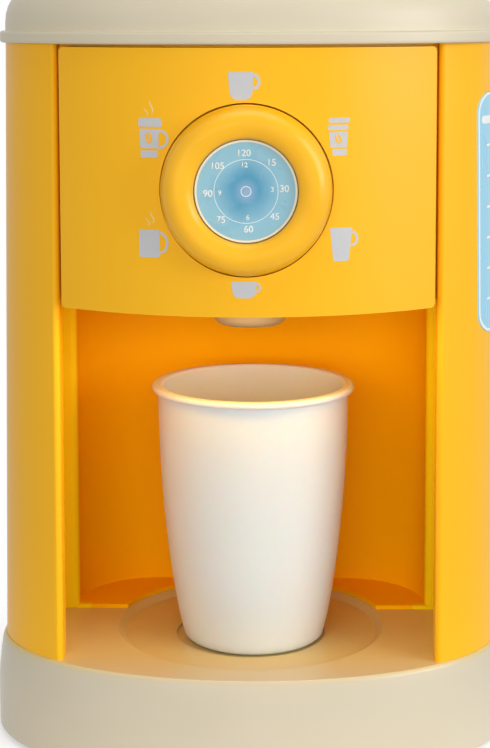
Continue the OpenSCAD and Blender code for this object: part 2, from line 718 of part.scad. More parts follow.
module spring_screw() color("silver") on_dial()
    translate([post_at[0], post_at[1], wheel_front - tab_t - head_h]) screw(tab_t + post_h - tip_gap);

/* Turning pieces of the dial */
plug_front = -9.8;
plug_l = 19.4;
socket_l = 8;
module on_plug() placed() translate([0, cup_y, dial_z]) rotate([90, 0, 0]) children();
module dial_shaft() color("#e8e4da") on_dial() difference() {
    translate([0, 0, -shaft_back]) cylinder(r = shaft_r, h = shaft_back + shaft_front);
    // Flat for the wheel and the plug
    translate([-shaft_r - cut, shaft_r - flat_depth, -shaft_back - cut])
        cube([2 * (shaft_r + cut), shaft_r, shaft_back + cut + wheel_front + slip]);
    // Flat for the knob
    translate([-shaft_r - cut, shaft_r - flat_depth, knob_rear])
        cube([2 * (shaft_r + cut), shaft_r, shaft_front - knob_rear + cut]);
    // Groove of the clip
    translate([0, 0, clip_front - clip_t - seat]) ring(shaft_r + cut, shaft_r - groove_in, clip_t + 2 * seat);
    translate([0, 0, shaft_front - knob_screw_l]) cylinder(r = screw_r + bite_gap, h = knob_screw_l + cut);
}
knob_screw_l = 9;
groove_in = 0.8;
clip_w = 2.6;
clip_mouth = 2.8;
// Distance from the panel's front back to the end of the shaft, inside the plug's socket
shaft_back = cup_y + plug_front - panel_front + socket_l - slip;
module shaft_clip() color("silver") on_dial() translate([0, 0, clip_front - clip_t]) difference() {
    ring(shaft_r + clip_w, shaft_r - groove_in + bite_gap, clip_t);
    translate([-clip_mouth, -shaft_r - clip_w - cut, -cut])
        cube([2 * clip_mouth, shaft_r + clip_w + cut, clip_t + 2 * cut]);
}
// Face of the ring knob: up from the edge to the crest, then down to the disc
face_steps = 10;
disc_gap = 0.3;
lip_r_in = disc_r + disc_gap;
lip_h = disc_seat + disc_t + 1;
knob_edge = 0.5;
edge_r = 0.4;
skirt_in = 2.2;
plate_t = 2.2;
scoop_out = 1.2;
knob_face = concat(
    [for (i = [0 : face_steps]) let (a = 90 * i / face_steps)
        [crest_r + (knob_r - edge_r - crest_r) * cos(a),
         knob_edge + edge_r + (knob_crest - knob_edge - edge_r) * sin(a)]],
    [for (i = [1 : face_steps]) let (a = 90 * i / face_steps)
        [crest_r - (crest_r - lip_r_in) * sin(a), lip_h + (knob_crest - lip_h) * cos(a)]]);
module dial_knob() color("#f9c136") on_dial() difference() {
    union() {
        rotate_extrude($fn = 180) polygon(concat(
            [[shaft_r, disc_seat], [shaft_r, disc_seat - plate_t], [knob_r - skirt_in, disc_seat - plate_t],
             [knob_r - skirt_in, knob_rear], [knob_r, knob_rear], [knob_r, knob_edge]],
            knob_face, [[lip_r_in, disc_seat]]));
        translate([0, 0, knob_rear]) cylinder(r = hub_r, h = disc_seat - knob_rear);
    }
    d_bore(knob_rear - cut, shaft_front + bite_gap);
    translate([0, 0, knob_rear]) cylinder(r = screw_r + pass_gap, h = disc_seat - knob_rear + cut);
    translate([0, 0, disc_seat - head_h - seat]) cylinder(r = head_r + pass_gap, h = head_h + seat + cut);
    for (i = [0 : stops - 1]) rotate((i + 0.5) * stop_angle)
        translate([crest_r + scoop_out, 0, knob_crest - scoop_depth + scoop_r]) sphere(r = scoop_r);
}
module knob_screw() color("silver") on_dial() translate([0, 0, disc_seat - seat]) mirror([0, 0, 1])
    screw(knob_screw_l + disc_seat - seat - head_h - shaft_front - tip_gap);
module dial_disc() color("#6db9dc") on_dial() translate([0, 0, disc_seat]) cylinder(r = disc_r, h = disc_t);

/* Tap */
groove_w = 1.3;
groove_d = 1.1;
seal_r = 0.55;
seal_in = 2.2;
seal_at = [seal_in, plug_l - seal_in];
module valve_plug() color("#dfe3e6") on_plug() translate([0, 0, -plug_l - plug_front]) difference() {
    cylinder(r = plug_r, h = plug_l);
    d_bore(plug_l - socket_l, plug_l + cut);
    translate([0, 0, plug_l + plug_front]) rotate([0, 90, 0]) translate([0, 0, -plug_r - cut])
        cylinder(r = way_r, h = 2 * (plug_r + cut));
    for (z = seal_at) translate([0, 0, z - groove_w / 2]) ring(plug_r + cut, plug_r - groove_d, groove_w);
}
module plug_seals() color("#2c2c2c") on_plug() translate([0, 0, -plug_l - plug_front]) for (z = seal_at)
    translate([0, 0, z]) rotate_extrude() translate([plug_r - seal_r + run_gap / 2, 0])
        circle(r = seal_r, $fn = 24);
body_r = 9.5;
body_front = plug_front - 1;
body_end = 3;
bore_l = plug_front - body_front + plug_l + slip;
inlet_r = body_r - 1;
inlet_t = 1.4;
bridge_low = -11;
bridge_t = 5;
bridge_w = 12;
outlet_l = 6;
foot_t = 2;
valve_top = tank_low - dial_z;
gasket_t = 1.6;
module valve_body() color("#f1efe8") placed() translate([0, cup_y, dial_z]) difference() {
    union() {
        translate([0, body_front, 0]) rotate([-90, 0, 0]) cylinder(r = body_r, h = bore_l + body_end);
        // Inlet with a shoulder for the gasket
        cylinder(r = inlet_r, h = valve_top - gasket_t);
        cylinder(r = spigot_r + inlet_t, h = valve_top + tank_t);
        // Outlet spigot
        translate([0, 0, bridge_low - outlet_l]) cylinder(r = spigot_r, h = outlet_l + bridge_t);
        // Bridge, legs and feet
        translate([-valve_screw_x - boss_r, -bridge_w / 2, bridge_low])
            cube([2 * (valve_screw_x + boss_r), bridge_w, bridge_t]);
        for (side = [-1, 1]) translate([side * valve_screw_x, 0, floor_z + valve_screw_l - dial_z])
            cylinder(r = boss_r, h = dial_z + bridge_low + overlap - floor_z - valve_screw_l);
    }
    translate([0, body_front - cut, 0]) rotate([-90, 0, 0])
        cylinder(r = plug_r + run_gap, h = bore_l + cut);
    cylinder(r = way_r, h = valve_top + tank_t + cut);
    translate([0, 0, bridge_low - outlet_l - cut]) cylinder(r = way_r, h = outlet_l + cut - bridge_low);
    for (side = [-1, 1]) {
        translate([side * valve_screw_x, 0, floor_z + valve_screw_l - dial_z - cut])
            cylinder(r = screw_r + pass_gap, h = dial_z - floor_z);
        translate([side * valve_screw_x, 0, floor_z + valve_screw_l - dial_z + foot_t])
            cylinder(r = head_r + seat, h = dial_z - floor_z);
    }
}
module valve_screws() color("silver") placed() for (side = [-1, 1])
    translate([side * valve_screw_x, cup_y, floor_z + valve_screw_l + foot_t + head_h]) mirror([0, 0, 1])
        screw(foot_t + valve_screw_l - tip_gap);
tube_t = 1.5;
nut_h = 2.4;
nut_w = 3.4;
grips = 6;
grip_r = 1.2;
grip_out = 0.6;
neck_top = floor_z + nut_h + slip;
nozzle_spigot = 7;
tube_low = neck_top + slip;
module outlet_tube() color("#eceae2") placed() translate([0, cup_y, tube_low])
    ring(spigot_r + bite_gap + tube_t, spigot_r + bite_gap, dial_z + bridge_low - slip - tube_low);
spout_low = panel_low - spout_drop;
spout_steps = 6;
mouth_h = 1.6;
mouth_in = 1.2;
mouth_out = 2.8;
module spout_nozzle() color("#cfc4ad") placed() translate([0, cup_y, 0]) difference() {
    rotate_extrude($fn = 90) polygon([
        [0, spout_low + mouth_h], [way_r + mouth_in, spout_low + mouth_h], [way_r + mouth_out, spout_low],
        for (i = [0 : spout_steps]) let (a = 90 * i / spout_steps)
            [spout_r - spout_round * (1 - sin(a)), spout_low + spout_round * (1 - cos(a))],
        [spout_r, ceiling_z], [neck_r, ceiling_z], [neck_r, neck_top], [spigot_r, neck_top],
        [spigot_r, neck_top + nozzle_spigot], [0, neck_top + nozzle_spigot]]);
    translate([0, 0, spout_low]) cylinder(r = way_r, h = neck_top + nozzle_spigot + cut - spout_low);
}
module spout_nut() color("#cfc4ad") placed() translate([0, cup_y, floor_z]) difference() {
    ring(neck_r + nut_w, neck_r + bite_gap, nut_h);
    for (i = [0 : grips - 1]) rotate((i + 0.5) * 360 / grips) translate([neck_r + nut_w + grip_out, 0, -cut])
        cylinder(r = grip_r, h = nut_h + 2 * cut);
}

/* Tank */
skirt_gap = 0.3;
skirt_t = 1.6;
tank_in = wall + skirt_gap + skirt_t + tank_gap;
tank_front = flange_end - 3;
module tank_plan(inset) intersection() {
    polygon(casing_plan(casing_top, tank_in + inset));
    translate([-foot_half, -tank_front + inset]) square([body_w, back_depth + tank_front]);
}
module tank_solid(inset, low, high) translate([0, 0, low]) linear_extrude(height = high - low)
    tank_plan(inset);
module water_tank() color("#e9eef0") placed() difference() {
    tank_solid(0, tank_low, tank_top);
    tank_solid(tank_t, tank_low + tank_t, tank_top + cut);
    translate([0, cup_y, tank_low - cut]) cylinder(r = spigot_r + inlet_t + bite_gap, h = tank_t + 2 * cut);
}
module tank_gasket() color("#2c2c2c") placed() translate([0, cup_y, tank_low - gasket_t])
    ring(inlet_r, spigot_r + inlet_t + bite_gap, gasket_t);

/* Lid */
lid_wall = 2;
rim_round = 0.5;
skirt_back = 2;
seal_w = 3;
shoulder_steps = 8;
crown_steps = 5;
crown_run = 34;
least_corner = 8;
function lid_plan(inset) = plan(lid_half - inset, lid_front - inset, lid_back - inset,
                                max(lid_corner - inset, least_corner));
// Height and inset of each outline of the rim and of the dome
rim_levels = [[0, rim_round], [rim_round, 0], [rim_t - rim_round, 0], [rim_t, rim_round]];
dome_levels = concat(
    [[rim_t, dome_step]],
    [for (i = [0 : shoulder_steps]) let (a = 90 * i / shoulder_steps)
        [dome_base + shoulder_r * sin(a), dome_step + shoulder_r * (1 - cos(a))]],
    [for (i = [1 : crown_steps]) let (s = i / crown_steps)
        [dome_base + shoulder_r + crown_h * (1 - pow(1 - s, 2)), dome_step + shoulder_r + crown_run * s]]);
module lid_loft(levels, drop, inset) loft([
    for (level = levels) [level[0] - drop, lid_plan(level[1] + inset)]]);
module lid_shell() color("#dccfb4") placed() translate([0, 0, rim_z]) difference() {
    union() {
        difference() {
            lid_loft(concat(rim_levels, dome_levels), 0, 0);
            lid_loft(dome_levels, lid_wall, lid_wall);
        }
        // Skirt that enters the casing
        translate([0, 0, -skirt_h]) difference() {
            plate(skirt_h + overlap, casing_plan(casing_top, wall + skirt_gap));
            translate([0, 0, -cut])
                plate(skirt_h + overlap + 2 * cut, casing_plan(casing_top, wall + skirt_gap + skirt_t));
            translate([-foot_half, -2 * front_bulge, -cut])
                cube([body_w, 2 * front_bulge - flange_end + skirt_back, skirt_h + overlap + 2 * cut]);
        }
    }
    // Filling hole over the tank
    translate([0, 0, -cut]) linear_extrude(height = rim_t) tank_plan(seal_w + cut);
}
module lid_seal() color("#8e8a80") placed() difference() {
    tank_solid(-seat, tank_top + slip, rim_z);
    tank_solid(seal_w, tank_top, rim_z + cut);
}

/* Cup */
wall_steps = 12;
cup_bulge = 1.4;
ring_w = 3;
ring_h = 0.6;
ring_edge = 0.5;
side_low = 1.6;
// Radius of the cup's side over its height: quick flare at the foot, nearly straight at the top
function cup_side(s) = cup_foot_r + cup_bulge
    + (cup_top_r - cup_foot_r - cup_bulge) * pow(sin(90 * pow(s, 0.85)), 0.95);
cup_floor = 2.2;
cup_lip_z = cup_h - lip_r;
lip_x = cup_top_r - cup_t + lip_r;
lip_w = cup_t + lip_out - 2 * lip_r;
module cup() color("#f4f2ea") placed() translate([cup_x, cup_y, well_z]) rotate_extrude($fn = 120) {
    polygon(concat(
        [[0, ring_h], [cup_foot_r - ring_w, ring_h], [cup_foot_r - ring_w + ring_h, 0],
         [cup_foot_r - cup_bulge, 0], [cup_foot_r, ring_edge]],
        [for (i = [0 : wall_steps]) let (s = i / wall_steps)
            [cup_side(s), side_low + (cup_lip_z - side_low) * s]],
        [for (i = [wall_steps : -1 : 0]) let (s = i / wall_steps)
            [cup_side(s) - cup_t, max(cup_floor, side_low + (cup_lip_z - side_low) * s)]],
        [[0, cup_floor]]));
    // Rolled lip, flush with the inside
    for (x = [lip_x, lip_x + lip_w]) translate([x, cup_lip_z]) circle(r = lip_r, $fn = 32);
    translate([lip_x, cup_lip_z - lip_r]) square([lip_w, 2 * lip_r]);
}

base_tray();
base_cover();
rubber_feet();
base_screws();
casing_shell();
casing_screws();
alcove_liner();
front_panel();
panel_screws();
head_floor();
head_screws();
level_gauge();
panel_bush();
click_spring();
spring_screw();
valve_body();
valve_screws();
outlet_tube();
spout_nozzle();
spout_nut();
water_tank();
tank_gasket();
dial_shaft();
shaft_clip();
click_wheel();
dial_knob();
knob_screw();
dial_disc();
valve_plug();
plug_seals();
lid_shell();
lid_seal();
cup();
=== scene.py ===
import json
import math

import bpy
from mathutils import Matrix, Vector


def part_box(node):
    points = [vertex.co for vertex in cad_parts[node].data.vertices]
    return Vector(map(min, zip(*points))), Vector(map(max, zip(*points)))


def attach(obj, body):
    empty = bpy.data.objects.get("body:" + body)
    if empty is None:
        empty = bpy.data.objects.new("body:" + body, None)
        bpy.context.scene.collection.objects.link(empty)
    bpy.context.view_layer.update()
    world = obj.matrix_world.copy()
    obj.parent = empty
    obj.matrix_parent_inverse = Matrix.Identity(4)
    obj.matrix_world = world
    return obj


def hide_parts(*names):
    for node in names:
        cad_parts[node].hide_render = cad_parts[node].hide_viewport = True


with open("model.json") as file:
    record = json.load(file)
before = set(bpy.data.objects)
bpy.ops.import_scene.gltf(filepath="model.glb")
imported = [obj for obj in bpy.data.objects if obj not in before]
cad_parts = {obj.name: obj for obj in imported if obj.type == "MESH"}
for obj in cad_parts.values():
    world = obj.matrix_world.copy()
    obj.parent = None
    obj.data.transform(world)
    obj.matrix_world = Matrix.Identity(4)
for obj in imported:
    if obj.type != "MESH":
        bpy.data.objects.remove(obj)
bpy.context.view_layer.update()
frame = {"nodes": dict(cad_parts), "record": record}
nodes = frame["nodes"]
body_of_node = {n: b for b, members in frame["record"]["behaviour"]["bodies"].items() for n in members}

# The pieces' sizes are written in millimetres and made metres with MM; the stage's are in metres.
# Points nearer to each other than WELD become one
MM = 0.001
WELD = 0.004
disc_low, disc_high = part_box("dial_disc")
knob_low, knob_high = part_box("dial_knob")
strip_low, strip_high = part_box("level_gauge")
DIAL_Z = (disc_low.z + disc_high.z) / 2 / MM


# ---------------------------------------------------------------- working by hand

def pick(*objects):
    """Deselects everything, then selects these pieces and makes the first one active."""
    bpy.ops.object.select_all(action="DESELECT")
    for obj in objects:
        obj.select_set(True)
    bpy.context.view_layer.objects.active = objects[0]


def finish_modifiers(obj):
    pick(obj)
    for modifier in list(obj.modifiers):
        bpy.ops.object.modifier_apply(modifier=modifier.name)


def paint(obj, material):
    obj.data.materials.clear()
    obj.data.materials.append(material)


# Angles in degrees: below FLAT two faces become one, above ROUNDED an edge is rounded, and above SHARP an
# edge stays sharp to the eye
FLAT, ROUNDED, SHARP = 0.4, 32, 38


def softened(node, width, material, segments=2):
    """The moulding of a CAD node with its edges rounded as a mould rounds them; it stands for the node."""
    piece = bpy.data.objects.new(node + "_moulding", nodes[node].data.copy())
    bpy.context.scene.collection.objects.link(piece)
    pick(piece)
    bpy.ops.object.mode_set(mode="EDIT")
    bpy.ops.mesh.select_all(action="SELECT")
    bpy.ops.mesh.remove_doubles(threshold=WELD * MM)
    bpy.ops.mesh.dissolve_limited(angle_limit=math.radians(FLAT))
    bpy.ops.object.mode_set(mode="OBJECT")
    if width:
        bevel = piece.modifiers.new("rounded edges", "BEVEL")
        bevel.width = width * MM
        bevel.segments = segments
        bevel.limit_method = "ANGLE"
        bevel.angle_limit = math.radians(ROUNDED)
        bevel.miter_outer = "MITER_ARC"
        bevel.use_clamp_overlap = True
    finish_modifiers(piece)
    bpy.ops.object.shade_smooth_by_angle(angle=math.radians(SHARP))
    weighted = piece.modifiers.new("even shading", "WEIGHTED_NORMAL")
    weighted.keep_sharp = True
    finish_modifiers(piece)
    paint(piece, material)
    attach(piece, body_of_node[node])
    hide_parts(node)
    return piece


# ---------------------------------------------------------------- finishes

def new_group(name, inputs, outputs):
    group = bpy.data.node_groups.new(name, "ShaderNodeTree")
    for title, value in inputs:
        socket = group.interface.new_socket(title, in_out="INPUT", socket_type="NodeSocketFloat")
        socket.default_value = value
    for title, kind in outputs:
        group.interface.new_socket(title, in_out="OUTPUT", socket_type=kind)
    return group, group.nodes.new("NodeGroupInput"), group.nodes.new("NodeGroupOutput")


def node_of(tree, kind, **values):
    """Adds a shader node; keys that name a socket set it, the others set the node's own settings."""
    made = tree.nodes.new("ShaderNode" + kind)
    for key, value in values.items():
        title = key.replace("_", " ").title()
        if title in made.inputs:
            made.inputs[title].default_value = value
        else:
            setattr(made, key, value)
    return made


def mould_grain_group():
    """Fine spark-eroded grain, slow flow marks of the moulding and the scuffs of use."""
    group, gin, gout = new_group(
        "mould_grain",
        [("Grain Size", 0.35), ("Flow Size", 40.0)],
        [("Grain", "NodeSocketFloat"), ("Flow", "NodeSocketFloat"), ("Scuff", "NodeSocketFloat")])
    place = node_of(group, "TexCoord")
    link = group.links.new

    # Grain and flow are noise whose size is given in millimetres
    for title, look in (("Grain", {"detail": 2.0, "roughness": 0.6}),
                        ("Flow", {"detail": 3.0, "roughness": 0.45, "distortion": 0.6})):
        scale = node_of(group, "Math", operation="DIVIDE")
        scale.inputs[0].default_value = 1 / MM
        link(gin.outputs[title + " Size"], scale.inputs[1])
        noise = node_of(group, "TexNoise", **look)
        link(place.outputs["Object"], noise.inputs["Vector"])
        link(scale.outputs[0], noise.inputs["Scale"])
        link(noise.outputs["Fac"], gout.inputs[title])

    # Scuffs are the few peaks of a noise drawn out along one direction
    stretch = node_of(group, "Mapping")
    stretch.inputs["Scale"].default_value = (900.0, 900.0, 140.0)
    stretch.inputs["Rotation"].default_value = (0.3, 0.5, 0.2)
    link(place.outputs["Object"], stretch.inputs["Vector"])
    scuff = node_of(group, "TexNoise", scale=1.0, detail=1.0, roughness=0.5)
    link(stretch.outputs["Vector"], scuff.inputs["Vector"])
    few = node_of(group, "MapRange", from_min=0.66, from_max=0.78)
    link(scuff.outputs["Fac"], few.inputs["Value"])
    link(few.outputs["Result"], gout.inputs["Scuff"])
    return group


def edge_group():
    """How near a point lies to a moulded edge, from 0 on the flats to 1 on the edge."""
    group, gin, gout = new_group("moulded_edge", [("Reach", 0.0008)], [("Edge", "NodeSocketFloat")])
    link = group.links.new
    rounded = node_of(group, "Bevel", samples=6)
    link(gin.outputs["Reach"], rounded.inputs["Radius"])
    surface = node_of(group, "NewGeometry")
    along = node_of(group, "VectorMath", operation="DOT_PRODUCT")
    link(rounded.outputs["Normal"], along.inputs[0])
    link(surface.outputs["Normal"], along.inputs[1])
    ramp = node_of(group, "MapRange", from_min=0.995, from_max=0.86)
    link(along.outputs["Value"], ramp.inputs["Value"])
    link(ramp.outputs["Result"], gout.inputs["Edge"])
    return group


MOULD_GRAIN = mould_grain_group()
MOULDED_EDGE = edge_group()
# Where the painted shade and warm bounce light of the bay begin: behind and between the liner's flanges, and
# back along the tray
FLANGE_FRONT, FLANGE_BACK, FLANGE_X = 11.6, 14.5, 55.6
TRAY_FRONT, TRAY_DEEP = -72, -30


def start_material(name, roughness, **plain):
    material = bpy.data.materials.new(name)
    material.use_nodes = True
    tree = material.node_tree
    shader = tree.nodes["Principled BSDF"]
    shader.inputs["Roughness"].default_value = roughness
    for key, value in plain.items():
        shader.inputs[key.replace("_", " ").title().replace("Ior", "IOR")].default_value = value
    return material, tree, shader


def place_group(tree, group, **values):
    made = tree.nodes.new("ShaderNodeGroup")
    made.node_tree = group
    for key, value in values.items():
        made.inputs[key.replace("_", " ").title()].default_value = value
    return made


def mix_colours(tree, factor, first, second):
    """Mixes two colours; either may be a socket or a plain colour, the factor is a socket."""
    mix = tree.nodes.new("ShaderNodeMix")
    mix.data_type = "RGBA"
    tree.links.new(factor, mix.inputs["Factor"])
    for value, socket in ((first, mix.inputs[6]), (second, mix.inputs[7])):
        if isinstance(value, tuple):
            socket.default_value = (*value, 1.0)
        else:
            tree.links.new(value, socket)
    return mix.outputs[2]


def ranged(tree, value, low, high):
    """Spreads a 0 to 1 mask over low to high."""
    spread = node_of(tree, "MapRange", to_min=low, to_max=high)
    tree.links.new(value, spread.inputs["Value"])
    return spread.outputs["Result"]


def place_parts(tree):
    """The place on a piece as separate X, Y and Z sockets."""
    place = node_of(tree, "TexCoord")
    split = node_of(tree, "SeparateXYZ")
    tree.links.new(place.outputs["Object"], split.inputs["Vector"])
    return split.outputs


def grown(tree, value, start, full, **look):
    """A mask that grows from 0 to 1 while the value goes from start to full."""
    spread = node_of(tree, "MapRange", from_min=start, from_max=full, **look)
    tree.links.new(value, spread.inputs["Value"])
    return spread.outputs["Result"]


def combined(tree, operation, first, second=None):
    """The result of a Math node on one or two sockets."""
    made = node_of(tree, "Math", operation=operation)
    tree.links.new(first, made.inputs[0])
    if second:
        tree.links.new(second, made.inputs[1])
    return made.outputs[0]


def liner_shade_mask(tree):
    """1 on the liner's walls and ledge, which are painted a deeper orange as the bay's shade, 0 on the two
    narrow flanges beside the columns.
    """
    place = place_parts(tree)
    deep = grown(tree, place["Y"], FLANGE_FRONT * MM, FLANGE_BACK * MM, interpolation_type="SMOOTHSTEP")
    between = grown(tree, combined(tree, "ABSOLUTE", place["X"]), (FLANGE_X + 0.8) * MM, FLANGE_X * MM)
    return combined(tree, "MAXIMUM", between, deep)


def tray_bounce_mask(tree):
    """1 on the tray's top deep in the bay, where warm bounce light and the head's shade are painted, 0 at its
    front and on the outside of the base.
    """
    deep = grown(tree, place_parts(tree)["Y"], TRAY_FRONT * MM, TRAY_DEEP * MM,
                 interpolation_type="SMOOTHSTEP")
    facing = node_of(tree, "NewGeometry")
    split = node_of(tree, "SeparateXYZ")
    tree.links.new(facing.outputs["Normal"], split.inputs["Vector"])
    return combined(tree, "MULTIPLY", grown(tree, split.outputs["Z"], 0.15, 0.60), deep)


def grain_bump(tree, shader, face, strength, depth):
    """Feeds the fine grain to the shader as a bump of this depth in millimetres."""
    bump = node_of(tree, "Bump", strength=strength, distance=depth * MM)
    tree.links.new(face.outputs["Grain"], bump.inputs["Height"])
    tree.links.new(bump.outputs["Normal"], shader.inputs["Normal"])


def moulded_plastic(name, colour, deep, edge_highlight, roughness=0.36, grain=0.02, painted_bay_colour=None, where=None, **plain):
    """Satin moulded plastic: slow colour flow, fine grain, scuffs, and edges painted a little paler than the
    flats as a highlight on their rounding.

    Where a mask is given, the painted bay colour takes over inside the cup bay, as painted shade and warm
    bounce light."""
    material, tree, shader = start_material(name, roughness, **plain)
    link = tree.links.new
    face = place_group(tree, MOULD_GRAIN, grain_size=0.35, flow_size=45.0)
    edge = place_group(tree, MOULDED_EDGE, reach=0.0007)
    flow = ranged(tree, face.outputs["Flow"], -0.2, 1.1)
    body = mix_colours(tree, flow, deep, colour)
    if painted_bay_colour:
        body = mix_colours(tree, where(tree), body, painted_bay_colour)
    # Near the moulded edges the painted highlight colour takes over
    edge_part = ranged(tree, edge.outputs["Edge"], 0.0, 0.45)
    link(mix_colours(tree, edge_part, body, edge_highlight), shader.inputs["Base Color"])
    scuffed = node_of(tree, "Math", operation="MULTIPLY_ADD")
    link(face.outputs["Scuff"], scuffed.inputs[0])
    scuffed.inputs[1].default_value = 0.05
    link(ranged(tree, face.outputs["Flow"], roughness - 0.05, roughness + 0.06), scuffed.inputs[2])
    link(scuffed.outputs[0], shader.inputs["Roughness"])
    grain_bump(tree, shader, face, grain * 5, 0.1)
    return material


def soft_rubber(name, colour, deep):
    material, tree, shader = start_material(name, 0.75)
    face = place_group(tree, MOULD_GRAIN, grain_size=0.5, flow_size=8.0)
    tree.links.new(mix_colours(tree, face.outputs["Flow"], deep, colour), shader.inputs["Base Color"])
    tree.links.new(ranged(tree, face.outputs["Flow"], 0.68, 0.85), shader.inputs["Roughness"])
    grain_bump(tree, shader, face, 0.25, 0.1)
    return material


def plated_steel(name, colour, deep, roughness):
    material, tree, shader = start_material(name, roughness, metallic=1.0)
    face = place_group(tree, MOULD_GRAIN, grain_size=0.25, flow_size=3.0)
    tree.links.new(mix_colours(tree, face.outputs["Flow"], deep, colour), shader.inputs["Base Color"])
    tree.links.new(ranged(tree, face.outputs["Flow"], roughness - 0.08, roughness + 0.12),
                   shader.inputs["Roughness"])
    grain_bump(tree, shader, face, 0.15, 0.05)
    return material


def disc_print():
    """Blue printed disc under a clear gloss coat: darker in the middle, paler and mottled outside."""
    material, tree, shader = start_material("dial_blue", 0.28, coat_weight=0.3, coat_roughness=0.12)
    link = tree.links.new
    place = node_of(tree, "TexCoord")
    centred = node_of(tree, "Mapping")
    centred.inputs["Location"].default_value = (0.0, 0.0, -DIAL_Z * MM)
    flat = node_of(tree, "VectorMath", operation="MULTIPLY")
    flat.inputs[1].default_value = (1.0, 0.0, 1.0)
    reach = node_of(tree, "VectorMath", operation="LENGTH")
    link(place.outputs["Object"], centred.inputs["Vector"])
    link(centred.outputs["Vector"], flat.inputs[0])
    link(flat.outputs["Vector"], reach.inputs[0])
    face = place_group(tree, MOULD_GRAIN, grain_size=0.3, flow_size=9.0)
    # The way out from the middle, 0 to 1, with the mottling added about its mean
    out = grown(tree, reach.outputs["Value"], 2.0 * MM, 12.5 * MM, interpolation_type="SMOOTHSTEP")
    shifted = node_of(tree, "Math", operation="SUBTRACT")
    link(out, shifted.inputs[0])
    shifted.inputs[1].default_value = 0.42
    mottled = node_of(tree, "Math", operation="MULTIPLY_ADD", use_clamp=True)
    link(face.outputs["Flow"], mottled.inputs[0])
    mottled.inputs[1].default_value = 0.9
    link(shifted.outputs[0], mottled.inputs[2])
    blue = mix_colours(tree, mottled.outputs[0], (0.055, 0.29, 0.45), (0.26, 0.51, 0.62))
    glow = node_of(tree, "MapRange", from_min=4.2 * MM, from_max=0.8 * MM, to_max=0.32)
    link(reach.outputs["Value"], glow.inputs["Value"])
    link(mix_colours(tree, glow.outputs["Result"], blue, (0.62, 0.62, 0.82)), shader.inputs["Base Color"])
    link(ranged(tree, face.outputs["Flow"], 0.22, 0.34), shader.inputs["Roughness"])
    grain_bump(tree, shader, face, 0.06, 0.1)
    return material


def ink(name, colour, deep, roughness=0.45):
    """Screen-printed ink: even, with the faint unevenness of the print and its tiny pores."""
    material, tree, shader = start_material(name, roughness)
    face = place_group(tree, MOULD_GRAIN, grain_size=0.22, flow_size=5.0)
    tree.links.new(mix_colours(tree, face.outputs["Flow"], deep, colour), shader.inputs["Base Color"])
    tree.links.new(ranged(tree, face.outputs["Grain"], roughness - 0.06, roughness + 0.08),
                   shader.inputs["Roughness"])
    grain_bump(tree, shader, face, 0.12, 0.04)
    return material


YELLOW = moulded_plastic("yellow_casing", (0.975, 0.500, 0.010), (0.955, 0.475, 0.007), (0.98, 0.58, 0.04),
                         specular_ior_level=0.25)
# The bay's moulding is painted in two tones of light: a paler yellow on the flanges where the key light
# falls, a deeper orange on the walls and ledge as the shade inside the bay
YELLOW_BAY = moulded_plastic("yellow_bay", (0.985, 0.700, 0.006), (0.975, 0.680, 0.004), (0.99, 0.58, 0.01),
                             roughness=0.5, painted_bay_colour=(0.990, 0.470, 0.001), where=liner_shade_mask,
                             specular_ior_level=0.1)
YELLOW_PANEL = moulded_plastic("yellow_panel", (0.970, 0.500, 0.012), (0.950, 0.470, 0.009),
                               (0.98, 0.58, 0.04), roughness=0.36, specular_ior_level=0.3)
YELLOW_DIAL = moulded_plastic("yellow_dial", (0.970, 0.495, 0.012), (0.955, 0.470, 0.010),
                              (0.98, 0.56, 0.03), roughness=0.30, grain=0.008, specular_ior_level=0.4)
BEIGE = moulded_plastic("beige_moulding", (0.660, 0.585, 0.430), (0.615, 0.540, 0.390), (0.72, 0.65, 0.50),
                        roughness=0.40)
# Deep in the bay the tray's top is painted warmer and darker, as the orange bounce light of the walls and the
# shade under the head
BEIGE_TRAY = moulded_plastic("beige_tray", (0.615, 0.550, 0.415), (0.575, 0.510, 0.380), (0.68, 0.61, 0.48),
                             roughness=0.30, painted_bay_colour=(0.665, 0.505, 0.200), where=tray_bounce_mask)
# A darker copy of the beige moulding: the spout is painted darker as the shade it sits in under the head's
# panel
BEIGE_SPOUT_SHADED = moulded_plastic("beige_spout_shaded", (0.455, 0.365, 0.250), (0.420, 0.335, 0.225), (0.58, 0.51, 0.38),
                              roughness=0.38)
CUP_WHITE = moulded_plastic("cup_white", (0.750, 0.762, 0.730), (0.745, 0.755, 0.720), (0.82, 0.825, 0.80),
                            roughness=0.42, grain=0.012, subsurface_weight=0.45, subsurface_scale=0.003)
WHITE_PART = moulded_plastic("white_part", (0.80, 0.785, 0.73), (0.75, 0.735, 0.68), (0.86, 0.84, 0.80))
TANK_WHITE = moulded_plastic("tank_white", (0.79, 0.82, 0.84), (0.74, 0.78, 0.80), (0.85, 0.87, 0.88),
                             roughness=0.3, subsurface_weight=0.15, subsurface_scale=0.003)
DARK_RUBBER = soft_rubber("dark_rubber", (0.035, 0.035, 0.036), (0.022, 0.022, 0.023))
GREY_RUBBER = soft_rubber("grey_rubber", (0.28, 0.26, 0.22), (0.22, 0.205, 0.175))
PALE_TUBE = soft_rubber("pale_tube", (0.78, 0.76, 0.70), (0.70, 0.68, 0.62))
SCREW_STEEL = plated_steel("screw_steel", (0.60, 0.60, 0.61), (0.45, 0.45, 0.46), 0.32)
SPRING_STEEL = plated_steel("spring_steel", (0.55, 0.57, 0.60), (0.42, 0.44, 0.47), 0.24)
DIAL_BLUE = disc_print()
STRIP_BLUE = moulded_plastic("strip_blue", (0.300, 0.620, 0.790), (0.255, 0.580, 0.765), (0.50, 0.76, 0.88),
                             roughness=0.28, grain=0.006, coat_weight=0.3, coat_roughness=0.15)
INK_GREY = ink("ink_grey", (0.560, 0.565, 0.575), (0.520, 0.525, 0.540))
